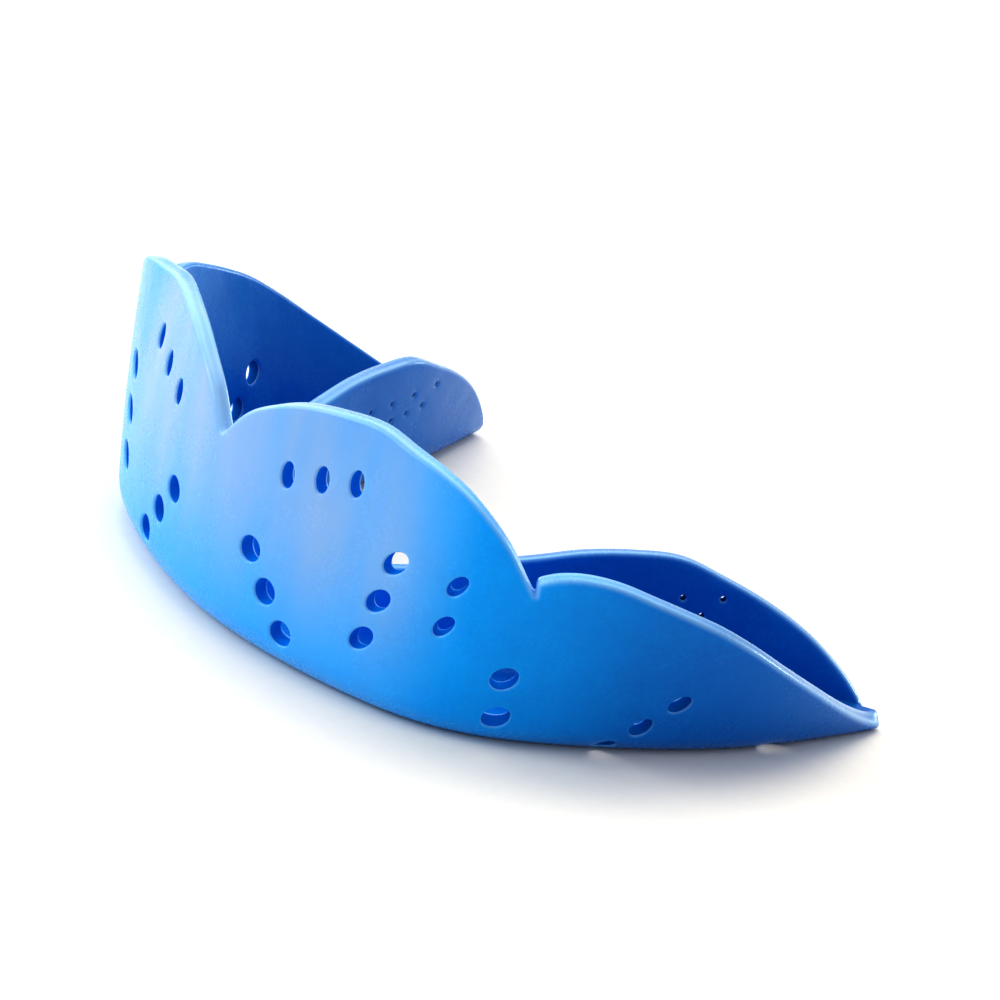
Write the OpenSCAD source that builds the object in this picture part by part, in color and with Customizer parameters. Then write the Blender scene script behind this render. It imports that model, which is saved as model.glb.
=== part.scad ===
// Boil-and-bite sports mouthguard, moulded from one perforated thermoplastic sheet.
// Frame: +Z up from the resting face, front teeth towards -Y, back teeth towards +Y.
// The guard is mirrored about X = 0.

/* [Sheet] */
// thickness of the moulded sheet
sheet = 1.5; // [1.2:0.1:2.4]
// outside bend radius between the floor and the lip-side wall
lip_bend = 3.5; // [3:0.1:6]
// outside bend radius between the floor and the tongue-side wall
tongue_bend = 3.2; // [2.5:0.1:5]

/* [Arch] */
// width over the bend lines of the two arms at their widest
arch_width = 68; // [60:1:76]
// depth from the front bend line to the arm tips
arch_depth = 46.5; // [40:0.5:52]
// width of the floor across the front teeth
front_floor = 8.5; // [6:0.5:10]

/* [Walls] */
// height of the lip-side wall at its front lobes, measured along the sheet
lobe_height = 25.4; // [20:0.2:30]
// height left under the front notch, measured along the sheet
front_notch_height = 18.5; // [14:0.5:24]
// height left under each side notch, measured along the sheet
side_notch_height = 17.6; // [12:0.2:22]
// height of the tongue-side wall at its highest, measured along the sheet
tongue_height = 13.7; // [8:0.1:18]

/* [Perforations] */
// diameter of the perforations in the lip-side wall
lip_hole_d = 2; // [1.2:0.1:3]
// diameter of the perforations in the tongue-side wall
tongue_hole_d = 0.6; // [0.5:0.1:1.2]

/* [View] */
// which piece to draw

/* [Hidden] */
// sides of each perforation
$fn = 24;
// step along the arch that finds its direction
eps = 0.001;

// Stations 0 (midline) to 7 (arm tip) share out the arch.
// Each list below holds one control value for each station.
last_station = 7;
side_notch_station = 4.1;

// bend line of the lip-side wall: shares of the half width, and of the depth
lip_x = arch_width / 2 * [0, 0.256, 0.495, 0.69, 0.833, 0.932, 1.01, 0.95];
lip_y = arch_depth * [0, 0.023, 0.071, 0.137, 0.254, 0.442, 0.69, 1];
// lean of the lip-side wall away from vertical, in degrees
lip_lean = [0.5, 0, 1, 5, 10, 17.5, 27.5, 38];
// how strongly the lip-side wall curls back towards the teeth higher up
lip_curl = [0.35, 0.55, 1.05, 1.1, 0.6, 0.05, -0.2, -0.25];
// bend line of the tongue-side wall
tongue_x = arch_width / 2 * [0, 0.142, 0.272, 0.384, 0.478, 0.566, 0.67, 0.865];
tongue_y = [
    for (share = [0, 0.018, 0.068, 0.16, 0.297, 0.482, 0.715, 0.995])
        front_floor + share * (arch_depth - front_floor)
];
// lean of the tongue-side wall away from vertical, in degrees
tongue_lean = [2, 2, 2.5, 3, 4.5, 5.5, 6.5, 6.5];
// the bends tighten where the walls run out at the tips
bend_share = [1, 1, 1, 1, 1, 1, 0.9, 0.5];

// top edges: [station, height along the sheet]
lip_front_edge = [
    [0, front_notch_height],
    [0.3, lobe_height - 4.1],
    [0.6, lobe_height - 2.5],
    [1, lobe_height - 1.1],
    [1.5, lobe_height - 0.3],
    [2, lobe_height],
    [2.5, lobe_height - 0.6],
    [3, lobe_height - 1.3],
    [3.4, lobe_height - 2.5],
    [3.8, lobe_height - 5.2],
    [side_notch_station, side_notch_height - 1.3]
];
lip_rear_edge = [
    [side_notch_station, side_notch_height],
    [4.28, side_notch_height + 0.8],
    [4.5, side_notch_height + 1.2],
    [4.75, side_notch_height + 1],
    [5, side_notch_height + 0.2],
    [5.25, side_notch_height - 0.8],
    [5.5, side_notch_height - 2.1],
    [5.75, side_notch_height - 4.1],
    [6, side_notch_height - 6.6],
    [6.25, side_notch_height - 9.2],
    [6.6, side_notch_height - 12.9],
    [6.85, side_notch_height - 15.3],
    [last_station, 1.2]
];
tongue_edge = [
    [0, tongue_height - 5],
    [2, tongue_height - 3.8],
    [3.6, tongue_height - 1.7],
    [4.2, tongue_height - 0.9],
    [4.7, tongue_height - 0.2],
    [5.2, tongue_height],
    [5.6, tongue_height - 0.3],
    [5.95, tongue_height - 1.8],
    [6.3, tongue_height - 3.8],
    [6.6, tongue_height - 6.2],
    [6.85, tongue_height - 9.1],
    [last_station, 2.2]
];

// mesh lines along each half of the arch, before and after its side notch
front_steps = 24;
rear_steps = 14;
// above 1, crowds the mesh lines of the rear stretch towards the tip
tip_crowding = 1.3;
// mesh lines across the sheet: up the lip-side wall, round each bend, over the floor, up the tongue-side wall
wall_rows = 7;
bend_rows = 4;
floor_rows = 2;
tongue_rows = 4;

// value of a list at a place between its stations, as a uniform cubic B-spline;
// mirror_sign is 1 for a value that is even about the midline and -1 for an odd one
function ghost(list, i, mirror_sign) =
    i < 0 ? mirror_sign * list[-i] :
    i > last_station ? 2 * list[last_station] - list[last_station - 1] :
    list[i];
function spline(list, t, mirror_sign = 1) =
    let (
        i = min(floor(t), last_station - 1),
        u = t - i,
        a = ghost(list, i - 1, mirror_sign),
        b = ghost(list, i, mirror_sign),
        c = ghost(list, i + 1, mirror_sign),
        d = ghost(list, i + 2, mirror_sign)
    )
    (a * pow(1 - u, 3) + b * (3 * pow(u, 3) - 6 * u * u + 4)
        + c * (-3 * pow(u, 3) + 3 * u * u + 3 * u + 1) + d * pow(u, 3)) / 6;

// smooth curve through the points of an edge list
function edge_slope(list, k) =
    let (
        a = max(k - 1, 0),
        b = min(k + 1, len(list) - 1)
    )
    (list[b][1] - list[a][1]) / (list[b][0] - list[a][0]);
function edge_piece(list, t, k = 0) =
    k >= len(list) - 2 || t < list[k + 1][0] ? k : edge_piece(list, t, k + 1);
function edge_at(list, t) =
    let (
        k = edge_piece(list, t),
        step = list[k + 1][0] - list[k][0],
        u = (t - list[k][0]) / step,
        start = list[k][1],
        end = list[k + 1][1],
        slope_a = edge_slope(list, k) * step,
        slope_b = edge_slope(list, k + 1) * step
    )
    start * (2 * u * u * u - 3 * u * u + 1) + end * (3 * u * u - 2 * u * u * u)
        + slope_a * (u * u * u - 2 * u * u + u) + slope_b * (u * u * u - u * u);

function lip_top(t) = t < side_notch_station ? edge_at(lip_front_edge, t) : edge_at(lip_rear_edge, t);
function tongue_top(t) = edge_at(tongue_edge, t);

// a point of one wall: t is the station, h the distance up the sheet from the floor,
// depth the distance in from the outside face
function wall_point(t, h, depth, bend_x, bend_y, lean, curl, bend, side) =
    let (
        place = [spline(bend_x, t, -1), spline(bend_y, t)],
        ahead = [spline(bend_x, t + eps, -1), spline(bend_y, t + eps)],
        along = (ahead - place) / norm(ahead - place),
        outward = side * [along[1], -along[0]],
        tilt = spline(lean, t),
        turn = 90 - tilt,
        radius = bend * spline(bend_share, t),
        arc = radius * turn * PI / 180,
        phi = min(max(h / radius * 180 / PI, 0), turn),
        s = max(h - arc, 0),
        n = -radius * tan(turn / 2) + min(h, 0) + radius * sin(phi) + s * sin(tilt)
            - spline(curl, t) * s * s / 200 - depth * sin(phi),
        z = radius * (1 - cos(phi)) + s * cos(tilt) + depth * cos(phi)
    )
    [place[0] + outward[0] * n, place[1] + outward[1] * n, z];
function lip_point(t, h, depth) =
    wall_point(t, h, depth, lip_x, lip_y, lip_lean, lip_curl, lip_bend, 1);
function tongue_point(t, h, depth) =
    wall_point(t, h, depth, tongue_x, tongue_y, tongue_lean, 0 * tongue_lean, tongue_bend, -1);

// heights of the mesh lines up a wall, from the top edge down to the floor
function wall_heights(top, bend, rows) =
    let (bent = min(bend * PI / 2, top / 2))
    [for (i = [0 : rows - 1]) top - (top - bent) * i / rows,
     for (i = [0 : bend_rows]) bent * (1 - i / bend_rows)];

// one cross-section of the sheet, from the lip-side edge round to the tongue-side edge
function section(t, depth) =
    let (
        lip = [for (h = wall_heights(lip_top(t), lip_bend, wall_rows)) lip_point(t, h, depth)],
        tongue = [for (h = wall_heights(tongue_top(t), tongue_bend, tongue_rows)) tongue_point(t, h, depth)],
        lip_end = lip[len(lip) - 1],
        tongue_end = tongue[len(tongue) - 1]
    )
    concat(
        lip,
        [for (i = [1 : floor_rows - 1]) lip_end + (tongue_end - lip_end) * i / floor_rows],
        [for (i = [len(tongue) - 1 : -1 : 0]) tongue[i]]
    );
function mirrored(points) = [for (p = points) [-p[0], p[1], p[2]]];

half_stations = concat(
    [for (i = [0 : front_steps - 1]) side_notch_station * i / front_steps],
    [for (i = [0 : rear_steps])
        last_station - eps - (last_station - eps - side_notch_station) * pow(1 - i / rear_steps, tip_crowding)]
);
half_count = len(half_stations);

// the frame's origin stands under the middle of the guard's box
outline_y = [for (t = half_stations) for (p = section(t, 0)) p[1]];
centre_y = (min(outline_y) + max(outline_y)) / 2;

// the sheet as a grid: one column of points for each cross-section, outside face then inside face
module sheet_body() {
    outside = [for (t = half_stations) section(t, 0)];
    inside = [for (t = half_stations) section(t, sheet)];
    columns = concat(
        [for (i = [half_count - 1 : -1 : 1]) concat(mirrored(outside[i]), mirrored(inside[i]))],
        [for (i = [0 : half_count - 1]) concat(outside[i], inside[i])]
    );
    rows = len(outside[0]);
    count = len(columns);
    points = [for (column = columns) for (p = column) p];
    function at(c, r, face) = c * 2 * rows + face * rows + r;
    faces = concat(
        [for (c = [0 : count - 2]) for (r = [0 : rows - 2]) each [
            [at(c, r, 0), at(c, r + 1, 0), at(c + 1, r + 1, 0)],
            [at(c, r, 0), at(c + 1, r + 1, 0), at(c + 1, r, 0)],
            [at(c, r, 1), at(c + 1, r + 1, 1), at(c, r + 1, 1)],
            [at(c, r, 1), at(c + 1, r, 1), at(c + 1, r + 1, 1)]
        ]],
        [for (c = [0 : count - 2]) each [
            [at(c, 0, 0), at(c + 1, 0, 0), at(c + 1, 0, 1)],
            [at(c, 0, 0), at(c + 1, 0, 1), at(c, 0, 1)],
            [at(c, rows - 1, 0), at(c + 1, rows - 1, 1), at(c + 1, rows - 1, 0)],
            [at(c, rows - 1, 0), at(c, rows - 1, 1), at(c + 1, rows - 1, 1)]
        ]],
        [for (r = [0 : rows - 2]) each [
            [at(0, r, 0), at(0, r, 1), at(0, r + 1, 1)],
            [at(0, r, 0), at(0, r + 1, 1), at(0, r + 1, 0)],
            [at(count - 1, r, 0), at(count - 1, r + 1, 1), at(count - 1, r, 1)],
            [at(count - 1, r, 0), at(count - 1, r + 1, 0), at(count - 1, r + 1, 1)]
        ]]
    );
    polyhedron(points, faces);
}

// Rows of perforations: [first hole, last hole, count, stretch]. Each hole is [station, height].
// The stretch that moulding gave the round holes is [width share, height share, tilt in degrees].
lip_hole_rows = [
    [[1.02, 18.4], [1.89, 20.3], 3, [0.75, 1.15, 0]],
    [[0.71, 11], [1.27, 5.5], 3, [1.25, 1.1, 10]],
    [[2.59, 15.6], [2.3, 8.4], 3, [1.4, 0.85, 40]],
    [[3.36, 15.6], [3.27, 11.9], 2, [1.2, 0.65, 50]],
    [[3.95, 8.5], [3.93, 4.8], 2, [1.3, 0.95, 40]],
    [[5.37, 7.6], [4.93, 2.3], 3, [1.1, 0.75, 50]],
    [[6.19, 1.3], [6.19, 1.3], 1, [1.1, 0.8, 0]]
];
tongue_hole_rows = [
    [[5, 10], [5.95, 10.2], 4, [1, 1, 0]],
    [[5.36, 8.4], [5.8, 8.7], 3, [1, 1, 0]]
];

// one perforation, square to the sheet, through a point of its outside face and the point behind it
module perforation(outside, inside, d, stretch) {
    direction = outside - inside;
    middle = (inside + outside) / 2;
    translate(middle)
        rotate([0, acos(direction[2] / norm(direction)), atan2(direction[1], direction[0])])
            rotate([0, 0, stretch[2]])
                scale([stretch[1], stretch[0], 1])
                    cylinder(d = d, h = sheet + 2, center = true);
}

module perforations() {
    for (side = [0, 1]) mirror([side, 0, 0]) {
        for (row = lip_hole_rows) for (i = [0 : row[2] - 1]) {
            place = row[0] + (row[1] - row[0]) * i / max(row[2] - 1, 1);
            outside = lip_point(place[0], place[1], 0);
            inside = lip_point(place[0], place[1], sheet);
            perforation(outside, inside, lip_hole_d, row[3]);
        }
        for (row = tongue_hole_rows) for (i = [0 : row[2] - 1]) {
            place = row[0] + (row[1] - row[0]) * i / max(row[2] - 1, 1);
            outside = tongue_point(place[0], place[1], 0);
            inside = tongue_point(place[0], place[1], sheet);
            perforation(outside, inside, tongue_hole_d, row[3]);
        }
    }
}

module guard_shell() {
    color([0.10, 0.50, 0.86])
        translate([0, -centre_y, 0])
            difference() {
                sheet_body();
                perforations();
            }
}

guard_shell();
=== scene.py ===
"""The looks of a moulded sports mouthguard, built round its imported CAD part.

The guard is one perforated thermoplastic sheet. The sheet is laid out flat as a
sheet of triangles with its punched holes and rounded edges, then bent into the
same trough as the CAD part. All sizes in the tables are millimetres.
"""

import math

import bpy
import numpy as np
from mathutils import Matrix, Vector
from mathutils.geometry import delaunay_2d_cdt


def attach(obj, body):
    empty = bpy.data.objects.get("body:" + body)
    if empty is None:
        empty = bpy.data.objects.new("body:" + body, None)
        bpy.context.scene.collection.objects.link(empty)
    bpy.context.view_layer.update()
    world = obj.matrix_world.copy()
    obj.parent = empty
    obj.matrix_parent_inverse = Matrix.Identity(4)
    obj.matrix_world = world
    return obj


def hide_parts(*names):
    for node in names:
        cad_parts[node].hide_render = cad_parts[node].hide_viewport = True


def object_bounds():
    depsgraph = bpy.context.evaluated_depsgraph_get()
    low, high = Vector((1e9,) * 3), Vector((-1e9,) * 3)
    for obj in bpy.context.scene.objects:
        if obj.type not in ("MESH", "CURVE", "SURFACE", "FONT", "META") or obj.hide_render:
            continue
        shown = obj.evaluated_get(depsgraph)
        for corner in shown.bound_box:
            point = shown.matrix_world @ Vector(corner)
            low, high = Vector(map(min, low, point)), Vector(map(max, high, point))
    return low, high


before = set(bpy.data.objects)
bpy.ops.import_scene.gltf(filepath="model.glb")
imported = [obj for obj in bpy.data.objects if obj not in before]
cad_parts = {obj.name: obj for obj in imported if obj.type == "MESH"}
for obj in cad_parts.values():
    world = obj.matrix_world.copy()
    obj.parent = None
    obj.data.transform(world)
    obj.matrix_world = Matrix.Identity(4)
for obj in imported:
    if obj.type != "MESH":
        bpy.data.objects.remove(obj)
cad_low, cad_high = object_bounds()

MM = 0.001

# ---------------------------------------------------------------- camera

VIEW_AZIMUTH = 55.0
VIEW_ELEVATION = 21.8
VIEW_ROLL = 8.9
VIEW_DISTANCE = 795.9
LENS = 358.2
SENSOR = 36.0
AIM = (13.3, -4.1, 14.6)


def make_camera():
    """A long lens on the guard's near front corner. Distances are millimetres, angles degrees."""
    azimuth, elevation, roll = (math.radians(v) for v in (VIEW_AZIMUTH, VIEW_ELEVATION, VIEW_ROLL))
    right = Vector((math.cos(azimuth), math.sin(azimuth), 0))
    ahead = Vector((
        -math.sin(azimuth) * math.cos(elevation),
        math.cos(azimuth) * math.cos(elevation),
        -math.sin(elevation),
    ))
    up = right.cross(ahead)
    rolled_right = right * math.cos(roll) + up * math.sin(roll)
    rolled_up = up * math.cos(roll) - right * math.sin(roll)
    data = bpy.data.cameras.new("camera")
    data.lens = LENS
    data.sensor_width = SENSOR
    data.clip_start = 0.01
    data.clip_end = 20
    camera = bpy.data.objects.new("camera", data)
    place = (Vector(AIM) - ahead * VIEW_DISTANCE) * MM
    turn = Matrix((rolled_right, rolled_up, -ahead)).transposed().to_4x4()
    camera.matrix_world = Matrix.Translation(place) @ turn
    bpy.context.scene.collection.objects.link(camera)
    bpy.context.scene.camera = camera


make_camera()

# ---------------------------------------------------------------- the guard's shape, as in its CAD source

SHEET = 1.5
LIP_BEND = 3.5
TONGUE_BEND = 3.2
HALF_WIDTH = 34.0
DEPTH = 46.5
FRONT_FLOOR = 8.5
LOBE = 25.4
FRONT_NOTCH = 18.5
SIDE_NOTCH = 17.6
TONGUE = 13.7
LIP_HOLE_RADIUS = 0.98
TONGUE_HOLE_RADIUS = 0.23

# Stations 0 (midline) to LAST (arm tip) share out the arch. The arrays hold one control value for each.
LAST = 7.0
NOTCH_STATION = 4.1

# bend lines, leans from vertical in degrees, and how strongly the lip-side wall curls back
LIP_X = HALF_WIDTH * np.array([0, 0.256, 0.495, 0.69, 0.833, 0.932, 1.01, 0.95])
LIP_Y = DEPTH * np.array([0, 0.023, 0.071, 0.137, 0.254, 0.442, 0.69, 1])
LIP_LEAN = np.array([0.5, 0, 1, 5, 10, 17.5, 27.5, 38])
LIP_CURL = np.array([0.35, 0.55, 1.05, 1.1, 0.6, 0.05, -0.2, -0.25])
TONGUE_X = HALF_WIDTH * np.array([0, 0.142, 0.272, 0.384, 0.478, 0.566, 0.67, 0.865])
TONGUE_Y = FRONT_FLOOR + (DEPTH - FRONT_FLOOR) * np.array([
    0, 0.018, 0.068, 0.16, 0.297, 0.482, 0.715, 0.995,
])
TONGUE_LEAN = np.array([2, 2, 2.5, 3, 4.5, 5.5, 6.5, 6.5])
TONGUE_CURL = np.zeros(8)
# the bends tighten where the walls run out at the tips
BEND_SHARE = np.array([1, 1, 1, 1, 1, 1, 0.9, 0.5])

# top edges: (station, height along the sheet)
LIP_FRONT_EDGE = [
    (0, FRONT_NOTCH),
    (0.3, LOBE - 4.1),
    (0.6, LOBE - 2.5),
    (1, LOBE - 1.1),
    (1.5, LOBE - 0.3),
    (2, LOBE),
    (2.5, LOBE - 0.6),
    (3, LOBE - 1.3),
    (3.4, LOBE - 2.5),
    (3.8, LOBE - 5.2),
    (NOTCH_STATION, SIDE_NOTCH - 1.3),
]
LIP_REAR_EDGE = [
    (NOTCH_STATION, SIDE_NOTCH),
    (4.28, SIDE_NOTCH + 0.8),
    (4.5, SIDE_NOTCH + 1.2),
    (4.75, SIDE_NOTCH + 1),
    (5, SIDE_NOTCH + 0.2),
    (5.25, SIDE_NOTCH - 0.8),
    (5.5, SIDE_NOTCH - 2.1),
    (5.75, SIDE_NOTCH - 4.1),
    (6, SIDE_NOTCH - 6.6),
    (6.25, SIDE_NOTCH - 9.2),
    (6.6, SIDE_NOTCH - 12.9),
    (6.85, SIDE_NOTCH - 15.3),
    (LAST, 1.2),
]
TONGUE_EDGE = [
    (0, TONGUE - 5),
    (2, TONGUE - 3.8),
    (3.6, TONGUE - 1.7),
    (4.2, TONGUE - 0.9),
    (4.7, TONGUE - 0.2),
    (5.2, TONGUE),
    (5.6, TONGUE - 0.3),
    (5.95, TONGUE - 1.8),
    (6.3, TONGUE - 3.8),
    (6.6, TONGUE - 6.2),
    (6.85, TONGUE - 9.1),
    (LAST, 2.2),
]

# Rows of perforations: first hole, last hole, count, stretch. Each hole is (station, height).
# The stretch that moulding gave the round holes is (width share, height share, tilt in degrees).
LIP_HOLES = [
    ((1.02, 18.4), (1.89, 20.3), 3, (0.75, 1.15, 0)),
    ((0.71, 11), (1.27, 5.5), 3, (1.25, 1.1, 10)),
    ((2.59, 15.6), (2.3, 8.4), 3, (1.4, 0.85, 40)),
    ((3.36, 15.6), (3.27, 11.9), 2, (1.2, 0.65, 50)),
    ((3.95, 8.5), (3.93, 4.8), 2, (1.3, 0.95, 40)),
    ((5.37, 7.6), (4.93, 2.3), 3, (1.1, 0.75, 50)),
    ((6.19, 1.3), (6.19, 1.3), 1, (1.1, 0.8, 0)),
]
TONGUE_HOLES = [
    ((5, 10), (5.95, 10.2), 4, (1, 1, 0)),
    ((5.36, 8.4), (5.8, 8.7), 3, (1, 1, 0)),
]


# a small step along the stations, which finds the arch's direction; the sheet ends this far short of LAST
NUDGE = 0.001


def spline(values, t, sign=1):
    """Uniform cubic B-spline; sign is -1 for a value that is odd about the midline."""
    padded = np.concatenate((
        [sign * values[1]],
        values,
        [2 * values[-1] - values[-2], 3 * values[-1] - 2 * values[-2]],
    ))
    i = np.clip(np.floor(t), 0, LAST - 1).astype(int)
    u = t - i
    a, b, c, d = padded[i], padded[i + 1], padded[i + 2], padded[i + 3]
    return (a * (1 - u) ** 3 + b * (3 * u ** 3 - 6 * u * u + 4)
            + c * (-3 * u ** 3 + 3 * u * u + 3 * u + 1) + d * u ** 3) / 6


def edge_height(points, t):
    """Smooth curve through the points of a top edge."""
    x, y = np.array(points, float).T
    last = len(x) - 1
    before = np.maximum(np.arange(last + 1) - 1, 0)
    after = np.minimum(np.arange(last + 1) + 1, last)
    slope = (y[after] - y[before]) / (x[after] - x[before])
    k = np.clip(np.searchsorted(x, t, side="right") - 1, 0, last - 1)
    step = x[k + 1] - x[k]
    u = (t - x[k]) / step
    return (y[k] * (2 * u ** 3 - 3 * u * u + 1) + y[k + 1] * (3 * u * u - 2 * u ** 3)
            + slope[k] * step * (u ** 3 - 2 * u * u + u) + slope[k + 1] * step * (u ** 3 - u * u))


def lip_top(t):
    return np.where(t < NOTCH_STATION, edge_height(LIP_FRONT_EDGE, t), edge_height(LIP_REAR_EDGE, t))


def wall_point(t, h, depth, bend_x, bend_y, lean, curl, bend, side):
    """A point of one wall: t is the station, h the way up the sheet, depth the way in from the outside."""
    x, y = spline(bend_x, t, -1), spline(bend_y, t)
    dx = spline(bend_x, t + NUDGE, -1) - x
    dy = spline(bend_y, t + NUDGE) - y
    length = np.hypot(dx, dy)
    tilt = np.radians(spline(lean, t))
    turn = math.pi / 2 - tilt
    radius = bend * spline(BEND_SHARE, t)
    phi = np.clip(h / radius, 0, turn)
    s = np.maximum(h - radius * turn, 0)
    n = (-radius * np.tan(turn / 2) + np.minimum(h, 0) + radius * np.sin(phi) + s * np.sin(tilt)
         - spline(curl, t) * s * s / 200 - depth * np.sin(phi))
    z = radius * (1 - np.cos(phi)) + s * np.cos(tilt) + depth * np.cos(phi)
    return np.stack((x + side * dy / length * n, y - side * dx / length * n, z), -1)


def lip_point(t, h, depth):
    return wall_point(t, h, depth, LIP_X, LIP_Y, LIP_LEAN, LIP_CURL, LIP_BEND, 1)


def tongue_point(t, h, depth):
    return wall_point(t, h, depth, TONGUE_X, TONGUE_Y, TONGUE_LEAN, TONGUE_CURL, TONGUE_BEND, -1)


# ---------------------------------------------------------------- the sheet laid out flat

# In the flat layout, a runs along the arch from its midline and b across the sheet:
# up the lip-side wall above 0, over the floor from 0 to -FLOOR, up the tongue-side wall below that.
FLOOR = 6.0
# how round the cut edge is, and the mouths of the perforations
EDGE_ROUND = 0.42
RIM_ROUND = 0.16
SMALL_RIM_ROUND = 0.2
# angles at which a rounding is sampled, from the cut wall to the face
ROUND_ANGLES = np.radians([90, 66, 42, 20, 0])
# spacing of the triangular grid, how near a rim it may come, and the points round one perforation
GRID = 0.52
GRID_CLEARANCE = GRID * 0.62
RIM_POINTS = 28
# the cut edge: how densely it is first sampled, and how far its corners are softened
OUTLINE_STEP = 0.05
CORNER_REACH = 0.22
TIP_CORNER_REACH = 0.8
# the softer corners come in over this stretch before each tip
TIP_BLEND_START = 5
TIP_BLEND_LENGTH = 3
# the cut edge's final spacing: millimetres where it is straight, radians where it turns
EDGE_SPACING = 0.4
EDGE_TURN = 0.3
# depths at which the wall of a perforation is sampled, as shares of the sheet's thickness
BORE_LAYERS = (0.06, 0.5, 0.94)
# points closer together than this are one point
MERGE = 1e-7

stations = np.linspace(0, LAST - NUDGE, 1400)
bend_line = np.stack((spline(LIP_X, stations, -1), spline(LIP_Y, stations)), -1)
steps = np.linalg.norm(np.diff(bend_line, axis=0), axis=1)
along = np.concatenate(([0], np.cumsum(steps)))
HALF_LENGTH = along[-1]


def station_of(a):
    return np.interp(np.abs(a), along, stations)


def bent(a, b, depth):
    """Points of the bent sheet for flat places (a, b), depth in from its outside face."""
    t = station_of(a)
    depth = np.broadcast_to(depth, t.shape)
    lip = lip_point(t, b, depth)
    tongue = tongue_point(t, -b - FLOOR, depth)
    share = np.clip(-b / FLOOR, 0, 1)[:, None]
    floor = lip_point(t, 0 * b, depth) * (1 - share) + tongue_point(t, 0 * b, depth) * share
    points = np.where((b > 0)[:, None], lip, np.where((b < -FLOOR)[:, None], tongue, floor))
    points[:, 0] *= np.where(a < 0, -1, 1)
    return points


def outline():
    """The sheet's cut edge in the flat layout, as a dense closed loop, anticlockwise."""
    t = np.concatenate((
        np.linspace(0, NOTCH_STATION - 1e-6, 900),
        np.linspace(NOTCH_STATION, LAST - NUDGE, 600),
    ))
    a = np.interp(t, stations, along)
    top = np.stack((a, lip_top(t)), -1)
    low = np.stack((a, -FLOOR - edge_height(TONGUE_EDGE, t)), -1)
    half = np.concatenate((top, low[::-1]))
    loop = np.concatenate((half, half[::-1][1:-1] * (-1, 1)))[::-1]
    return evenly(loop, OUTLINE_STEP)


def evenly(loop, step):
    """A closed loop with its points spread evenly."""
    closed = np.vstack((loop, loop[:1]))
    length = np.concatenate(([0], np.cumsum(np.linalg.norm(np.diff(closed, axis=0), axis=1))))
    count = int(round(length[-1] / step))
    s = np.arange(count) * length[-1] / count
    return np.stack((np.interp(s, length, closed[:, 0]), np.interp(s, length, closed[:, 1])), -1)


def softened(loop, reach):
    """The dense outline with its corners rounded over about reach."""
    width = int(round(4 * reach / OUTLINE_STEP))
    weight = np.exp(-0.5 * (np.arange(-width, width + 1) * OUTLINE_STEP / reach) ** 2)
    weight /= weight.sum()
    wrapped = np.vstack((loop[-width:], loop, loop[:width]))
    return np.stack([np.convolve(wrapped[:, k], weight, "valid") for k in (0, 1)], -1)


def inward(loop):
    """Unit vectors into the sheet from an anticlockwise loop."""
    ahead = np.roll(loop, -1, 0) - np.roll(loop, 1, 0)
    ahead /= np.linalg.norm(ahead, axis=1, keepdims=True)
    return np.stack((-ahead[:, 1], ahead[:, 0]), -1)


def thinned(loop):
    """Which points of a dense loop to keep: close together only where it turns."""
    normal = inward(loop)
    turned = np.abs(np.cross(normal, np.roll(normal, -1, 0)))
    step = np.linalg.norm(np.roll(loop, -1, 0) - loop, axis=1)
    need = np.cumsum(step / EDGE_SPACING + turned / EDGE_TURN)
    count = int(need[-1])
    return np.searchsorted(need, (np.arange(count) + 0.5) * need[-1] / count)


def round_steps(radius):
    """Distances in from an edge at which its rounding is sampled; the first is the edge itself."""
    return radius * (1 - np.sin(ROUND_ANGLES))


def sunk(distance, radius):
    """How far a rounded edge drops below the face, at a distance in from the edge."""
    d = np.clip(radius - distance, 0, radius)
    return radius - np.sqrt(np.maximum(radius ** 2 - d ** 2, 0))


def hole_places():
    """(a, b, radius, stretch, rim rounding) of every perforation in the flat layout, both sides."""
    places = []
    for rows, radius, rounding in (
        (LIP_HOLES, LIP_HOLE_RADIUS, RIM_ROUND),
        (TONGUE_HOLES, TONGUE_HOLE_RADIUS, SMALL_RIM_ROUND),
    ):
        for first, last, count, (wide, tall, tilt) in rows:
            for i in range(count):
                share = i / max(count - 1, 1)
                t = first[0] + (last[0] - first[0]) * share
                h = first[1] + (last[1] - first[1]) * share
                a = np.interp(t, stations, along)
                b = h if rows is LIP_HOLES else -FLOOR - h
                places += [(a, b, radius, (wide, tall, tilt), rounding)]
                places += [(-a, b, radius, (wide, tall, -tilt), rounding)]
    return places


def ring(a, b, radius, stretch, spread=0.0):
    """A true ellipse of the bent sheet, as points of the flat layout, grown by spread."""
    probe = 0.02
    here = bent(np.array([a - probe, a + probe, a, a]), np.array([b, b, b - probe, b + probe]), 0.0)
    da = (here[1] - here[0]) / (2 * probe)
    db = (here[3] - here[2]) / (2 * probe)
    u = da / np.linalg.norm(da)
    normal = np.cross(da, db)
    v = np.cross(normal / np.linalg.norm(normal), u)
    jacobian = np.array([[da @ u, db @ u], [da @ v, db @ v]])
    angle = np.arange(RIM_POINTS) * 2 * math.pi / RIM_POINTS
    wide, tall, tilt = stretch
    x = (radius * wide + spread) * np.cos(angle)
    y = (radius * tall + spread) * np.sin(angle)
    cos, sin = math.cos(math.radians(tilt)), math.sin(math.radians(tilt))
    return np.array((a, b)) + np.linalg.solve(jacobian, np.stack((x * cos - y * sin, x * sin + y * cos))).T


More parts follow.
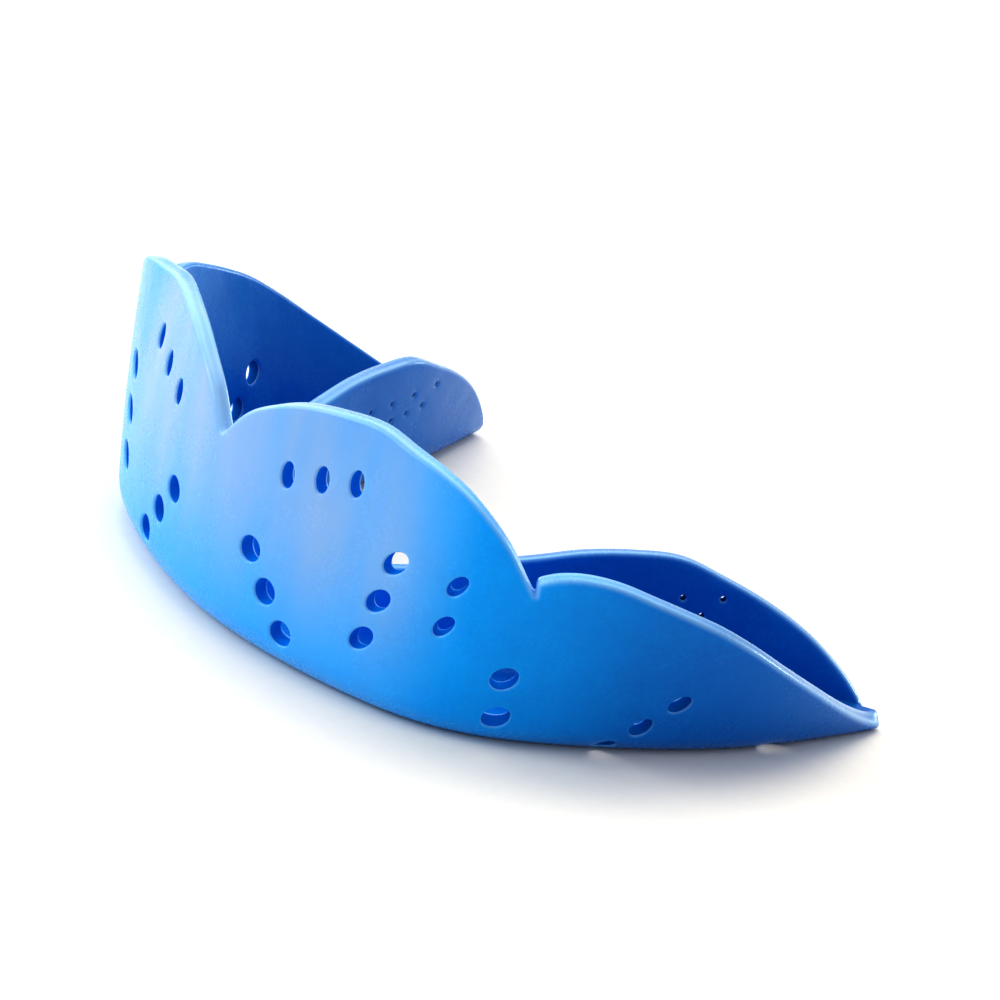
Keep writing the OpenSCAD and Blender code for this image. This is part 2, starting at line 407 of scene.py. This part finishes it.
def flat_sheet():
    """Points, drops, triangles and boundary loops of the sheet's outside face, laid out flat."""
    points, drops, loops = [], [], []

    def add(new, drop):
        start = sum(len(p) for p in points)
        points.append(new)
        drops.append(np.full(len(new), drop))
        return np.arange(start, start + len(new))

    dense = outline()
    sharp = softened(dense, CORNER_REACH)
    blunt = softened(dense, TIP_CORNER_REACH)
    at_tip = np.clip((np.abs(sharp[:, 0]) - HALF_LENGTH + TIP_BLEND_START) / TIP_BLEND_LENGTH, 0, 1)[:, None]
    edge = sharp * (1 - at_tip) + blunt * at_tip
    keep = thinned(edge)
    into = inward(edge)[keep]
    edge = edge[keep]
    for k, distance in enumerate(round_steps(EDGE_ROUND)):
        rim = add(edge + into * distance, sunk(distance, EDGE_ROUND))
        if k == 0:
            loops.append(rim)
    places = hole_places()
    for a, b, radius, stretch, rounding in places:
        for k, distance in enumerate(round_steps(rounding)):
            rim = add(ring(a, b, radius, stretch, distance), sunk(distance, rounding))
            if k == 0:
                loops.append(rim[::-1])

    # the rest of the sheet is a triangular grid, clear of the edge and of the holes
    rows = np.arange(edge[:, 1].min(), edge[:, 1].max(), GRID * math.sqrt(3) / 2)
    columns = np.arange(-HALF_LENGTH, HALF_LENGTH, GRID)
    grid_a, grid_b = np.meshgrid(columns, rows)
    grid_a[1::2] += GRID / 2
    grid = np.stack((grid_a.ravel(), grid_b.ravel()), -1)
    grid = grid[inside(grid, edge)]
    fixed = np.concatenate(points)
    grid = grid[nearest(grid, fixed) > GRID_CLEARANCE]
    for a, b, radius, stretch, _ in places:
        grid = grid[~inside(grid, ring(a, b, radius, stretch))]
    add(grid, 0.0)

    flat = np.concatenate(points)
    segments = [(int(p), int(q)) for loop in loops for p, q in zip(loop, np.roll(loop, -1))]
    made = delaunay_2d_cdt([Vector(p) for p in flat], segments, [], 0, MERGE)
    origin = np.array([o[0] for o in made[3]])
    triangles = origin[np.array(made[2])]
    middle = flat[triangles].mean(1)
    keep = inside(middle, edge)
    for a, b, radius, stretch, _ in places:
        near = np.where(keep & (np.hypot(middle[:, 0] - a, middle[:, 1] - b) < 3 * radius))[0]
        keep[near[inside(middle[near], ring(a, b, radius, stretch))]] = False
    return flat, np.concatenate(drops), triangles[keep], loops


def inside(points, loop):
    """Which points lie inside a closed loop."""
    hit = np.zeros(len(points), bool)
    x, y = points.T
    for (x1, y1), (x2, y2) in zip(loop, np.roll(loop, -1, 0)):
        if y1 != y2:
            crosses = (y1 > y) != (y2 > y)
            hit ^= crosses & (x < (x2 - x1) * (y - y1) / (y2 - y1) + x1)
    return hit


def nearest(points, others):
    """Distance from each point to the nearest of the others, found cell by cell."""
    cell = 1.0
    bins = {}
    for i, key in enumerate(map(tuple, np.floor(others / cell).astype(int))):
        bins.setdefault(key, []).append(i)
    found = np.full(len(points), 9.0)
    keys = np.floor(points / cell).astype(int)
    for i, (ka, kb) in enumerate(keys):
        close = [j for da in (-1, 0, 1) for db in (-1, 0, 1) for j in bins.get((ka + da, kb + db), ())]
        if close:
            found[i] = np.linalg.norm(others[close] - points[i], axis=1).min()
    return found


def make_guard():
    """The whole sheet: outside face, inside face, and the walls of its edge and holes.

    The "rim" value runs to 1 where a face rounds off into a cut, and "bore" is 1 inside a perforation.
    """
    flat, drop, triangles, loops = flat_sheet()
    count = len(flat)
    outside = bent(flat[:, 0], flat[:, 1], drop)
    inner = bent(flat[:, 0], flat[:, 1], SHEET - drop)
    first, second, third = (outside[triangles[:, k]] for k in (0, 1, 2))
    facing = np.cross(second - first, third - first)
    through = (inner - outside)[triangles[:, 0]]
    flip = (facing * through).sum(1) > 0
    triangles[flip] = triangles[flip][:, ::-1]
    verts = [outside, inner]
    rim = [np.minimum(drop / SMALL_RIM_ROUND, 1)] * 2
    bore = [0 * drop] * 2
    faces = [tuple(f) for f in triangles.tolist()]
    faces += [(a + count, c + count, b + count) for a, b, c in triangles.tolist()]
    sides = {pair for a, b, c in triangles.tolist() for pair in ((a, b), (b, c), (c, a))}
    total = 2 * count
    for loop in loops:
        size = len(loop)
        at_edge = loop is loops[0]
        layers = [loop]
        for share in (0.5,) if at_edge else BORE_LAYERS:
            verts.append(outside[loop] * (1 - share) + inner[loop] * share)
            rim.append(np.full(size, 0.5 if at_edge else 0.0))
            bore.append(np.full(size, 0.0 if at_edge else 1.0))
            layers.append(np.arange(total, total + size))
            total += size
        layers.append(loop + count)
        turned = (int(loop[0]), int(loop[1])) in sides
        for upper, lower in zip(layers, layers[1:]):
            for i in range(size):
                j = (i + 1) % size
                face = (upper[i], upper[j], lower[j], lower[i])
                faces.append(tuple(int(v) for v in (face[::-1] if turned else face)))
    points = np.concatenate(verts)
    low, high = points.min(0), points.max(0)
    points[:, 1] += (cad_low.y + cad_high.y) / 2 / MM - (low[1] + high[1]) / 2
    mesh = bpy.data.meshes.new("guard_sheet")
    mesh.from_pydata((points * MM).tolist(), [], faces)
    mesh.polygons.foreach_set("use_smooth", [True] * len(mesh.polygons))
    for name, value in (("rim", rim), ("bore", bore)):
        mesh.attributes.new(name, "FLOAT", "POINT").data.foreach_set("value", np.concatenate(value))
    mesh.update()
    guard = bpy.data.objects.new("guard_sheet", mesh)
    bpy.context.scene.collection.objects.link(guard)
    return guard


guard = make_guard()
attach(guard, "root")
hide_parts("guard_shell")

# ---------------------------------------------------------------- materials


def put(tree, kind, **settings):
    """A new node, with its own settings applied."""
    made = tree.nodes.new(kind)
    for name, value in settings.items():
        setattr(made, name, value)
    return made


def cloud(tree, coords, scale, detail, low, high):
    """Cloudy noise at a scale per metre, its middle range remapped to run from low to high."""
    noise = put(tree, "ShaderNodeTexNoise")
    noise.inputs["Scale"].default_value = scale
    noise.inputs["Detail"].default_value = detail
    tree.links.new(coords, noise.inputs["Vector"])
    remap = put(tree, "ShaderNodeMapRange")
    remap.inputs["From Min"].default_value = 0.3
    remap.inputs["From Max"].default_value = 0.7
    remap.inputs["To Min"].default_value = low
    remap.inputs["To Max"].default_value = high
    tree.links.new(noise.outputs[0], remap.inputs["Value"])
    return remap.outputs[0]


def squeezed(tree, coords, factors):
    """Coordinates scaled axis by axis, which draws a cloud out along the axes with small factors."""
    node = put(tree, "ShaderNodeMapping")
    node.inputs["Scale"].default_value = factors
    tree.links.new(coords, node.inputs["Vector"])
    return node.outputs[0]


def combine(tree, operation, first, second):
    """Two values put together; the second may be a number."""
    node = put(tree, "ShaderNodeMath", operation=operation)
    tree.links.new(first, node.inputs[0])
    if isinstance(second, (int, float)):
        node.inputs[1].default_value = second
    else:
        tree.links.new(second, node.inputs[1])
    return node.outputs[0]


def blend(tree, factor, first, second):
    """A colour between first and second; each is a colour or another node's output."""
    node = put(tree, "ShaderNodeMix", data_type="RGBA")
    tree.links.new(factor, node.inputs["Factor"])
    for slot, colour in ((6, first), (7, second)):
        if isinstance(colour, tuple):
            node.inputs[slot].default_value = colour + (1,)
        else:
            tree.links.new(colour, node.inputs[slot])
    return node.outputs[2]


def bump(tree, height, distance, strength, normal=None):
    node = put(tree, "ShaderNodeBump")
    node.inputs["Distance"].default_value = distance
    node.inputs["Strength"].default_value = strength
    tree.links.new(height, node.inputs["Height"])
    if normal is not None:
        tree.links.new(normal, node.inputs["Normal"])
    return node.outputs[0]


# the sheet's colour where it is thick, where it is stretched (its lightness there partly painted light), and
# a painted highlight where it is stretched thinnest
DEEP_BLUE = (0.0, 0.13, 0.48)
STRETCHED_AND_LIT_BLUE = (0.0, 0.37, 0.9)
PAINTED_HIGHLIGHT_BLUE = (0.3, 0.42, 0.66)
# a painted highlight at rounded cut edges, and painted shade inside the perforations of the stretched and of
# the thick part
EDGE_HIGHLIGHT_BLUE = (0.45, 0.7, 0.92)
SHADED_BORE_BLUE = (0.0, 0.2, 0.7)
DEEP_SHADED_BORE_BLUE = (0.0, 0.09, 0.34)


def sheet_material():
    """Satin thermoplastic: mottled, finely grained, paler where it is stretched thin and partly from painted
    light, with a painted highlight on the upper front and on cut edges, and painted shade in the
    perforations.
    """
    material = bpy.data.materials.new("blue_thermoplastic")
    material.use_nodes = True
    tree = material.node_tree
    shader = tree.nodes["Principled BSDF"]
    coords = put(tree, "ShaderNodeTexCoord").outputs["Object"]

    place = put(tree, "ShaderNodeSeparateXYZ")
    tree.links.new(coords, place.inputs[0])
    # the front is stretched most and is lighter, partly from the stretch and partly painted light; its upper
    # half gets a painted highlight in faint upright streaks
    stretch = put(tree, "ShaderNodeMapRange", interpolation_type="SMOOTHSTEP")
    stretch.inputs["From Min"].default_value = 6 * MM
    stretch.inputs["From Max"].default_value = -23 * MM
    tree.links.new(place.outputs["Y"], stretch.inputs["Value"])
    mottled = combine(tree, "ADD", stretch.outputs[0], cloud(tree, coords, 150, 3, -0.07, 0.07))
    mottled = combine(tree, "ADD", mottled, cloud(tree, coords, 1900, 2, -0.04, 0.04))
    # painted light: this front-to-back blend also stands in for the lamps falling strongest on the front
    colour = blend(tree, mottled, DEEP_BLUE, STRETCHED_AND_LIT_BLUE)
    # painted highlight: the upper front is blended towards a pale blue in upright streaks
    painted_highlight = put(tree, "ShaderNodeMapRange", interpolation_type="SMOOTHSTEP")
    painted_highlight.inputs["From Min"].default_value = 0.8
    painted_highlight.inputs["From Max"].default_value = 1
    tree.links.new(stretch.outputs[0], painted_highlight.inputs["Value"])
    highlight_height = put(tree, "ShaderNodeMapRange", interpolation_type="SMOOTHSTEP")
    highlight_height.inputs["From Max"].default_value = 16 * MM
    highlight_height.inputs["To Min"].default_value = 0.15
    tree.links.new(place.outputs["Z"], highlight_height.inputs["Value"])
    highlight_streaks = cloud(tree, squeezed(tree, coords, (1, 1, 0.12)), 190, 3, 0.5, 1)
    highlight_streaks = combine(tree, "MULTIPLY", highlight_streaks, highlight_height.outputs[0])
    colour = blend(tree, combine(tree, "MULTIPLY", painted_highlight.outputs[0], highlight_streaks), colour, PAINTED_HIGHLIGHT_BLUE)
    # cut edges get a painted highlight, and the perforations painted shade and a matt finish
    rim = put(tree, "ShaderNodeAttribute", attribute_name="rim").outputs["Fac"]
    # painted highlight along the rounded cut edges and the perforation mouths
    colour = blend(tree, combine(tree, "MULTIPLY", rim, 0.5), colour, EDGE_HIGHLIGHT_BLUE)
    bore = put(tree, "ShaderNodeAttribute", attribute_name="bore").outputs["Fac"]
    # painted shade inside the perforations, darker towards the rear
    colour = blend(tree, bore, colour, blend(tree, stretch.outputs[0], DEEP_SHADED_BORE_BLUE, SHADED_BORE_BLUE))
    tree.links.new(colour, shader.inputs["Base Color"])

    satin = cloud(tree, coords, 260, 3, 0.2, 0.3)
    satin = combine(tree, "ADD", satin, cloud(tree, coords, 3000, 2, -0.03, 0.03))
    satin = combine(tree, "ADD", satin, combine(tree, "MULTIPLY", bore, 0.5))
    tree.links.new(satin, shader.inputs["Roughness"])
    # soft moulding ripples under a fine grain
    waves = bump(tree, cloud(tree, coords, 170, 2, 0, 1), 0.12 * MM, 0.6)
    grain = bump(tree, cloud(tree, coords, 1500, 3, 0, 1), 0.015 * MM, 0.35, waves)
    tree.links.new(grain, shader.inputs["Normal"])

    shader.inputs["Subsurface Weight"].default_value = 0.3
    shader.inputs["Subsurface Radius"].default_value = (0.1, 0.5, 1.0)
    shader.inputs["Subsurface Scale"].default_value = 0.0015
    gloss = put(tree, "ShaderNodeMapRange")
    gloss.inputs["To Min"].default_value = 0.36
    gloss.inputs["To Max"].default_value = 0.0
    tree.links.new(bore, gloss.inputs["Value"])
    shine = combine(tree, "ADD", gloss.outputs[0], combine(tree, "MULTIPLY", rim, 0.6))
    tree.links.new(shine, shader.inputs["Specular IOR Level"])
    shader.inputs["Specular Tint"].default_value = (0.35, 0.75, 1, 1)
    return material


guard.data.materials.append(sheet_material())


def table_material():
    """Matt white paper with the faintest tooth."""
    material = bpy.data.materials.new("pale_table")
    material.use_nodes = True
    tree = material.node_tree
    shader = tree.nodes["Principled BSDF"]
    coords = put(tree, "ShaderNodeTexCoord").outputs["Object"]
    colour = blend(tree, cloud(tree, coords, 900, 3, 0, 1), (0.95, 0.91, 0.84), (0.97, 0.93, 0.86))
    tree.links.new(colour, shader.inputs["Base Color"])
    tree.links.new(bump(tree, cloud(tree, coords, 2500, 3, 0, 1), 0.01 * MM, 0.3), shader.inputs["Normal"])
    shader.inputs["Roughness"].default_value = 0.9
    shader.inputs["Specular IOR Level"].default_value = 0.0
    return material


def make_table():
    """A plain floor that reaches past the picture on every side."""
    size = 3.0
    mesh = bpy.data.meshes.new("table")
    corners = [(-size, -size, 0), (size, -size, 0), (size, size, 0), (-size, size, 0)]
    mesh.from_pydata(corners, [], [(0, 1, 2, 3)])
    table = bpy.data.objects.new("table", mesh)
    table.data.materials.append(table_material())
    bpy.context.scene.collection.objects.link(table)


make_table()

# ---------------------------------------------------------------- light


def softbox(name, place, size, power):
    """A square area light aimed at the guard."""
    data = bpy.data.lights.new(name, "AREA")
    data.size = size
    data.energy = power
    light = bpy.data.objects.new(name, data)
    light.location = place
    light.rotation_mode = "QUATERNION"
    light.rotation_quaternion = (Vector((0, 0, 0.01)) - Vector(place)).to_track_quat("-Z", "Y")
    bpy.context.scene.collection.objects.link(light)


WORLD_STRENGTH = 0.48
world = bpy.data.worlds.new("studio")
bpy.context.scene.world = world
world.use_nodes = True
world.node_tree.nodes["Background"].inputs["Color"].default_value = (1, 1, 1, 1)
world.node_tree.nodes["Background"].inputs["Strength"].default_value = WORLD_STRENGTH

# name, place in metres, width in metres, power in watts
LIGHTS = (
    ("key", (-0.66, -0.92, 0.28), 0.4, 0.9),
    ("side", (-1.0, -0.2, 0.45), 1.0, 4.6),
    ("front", (-0.5, -0.9, 0.6), 0.6, 4.0),
    ("top", (-0.35, 0.4, 0.9), 1.0, 4.8),
    ("right", (0.9, 0.42, 0.3), 0.15, 0.12),
    ("back", (-0.1, 0.97, 0.2), 0.2, 1.2),
)
for name, place, size, power in LIGHTS:
    softbox(name, place, size, power)

bpy.context.scene.view_settings.view_transform = "Standard"
bpy.context.scene.view_settings.look = "High Contrast"
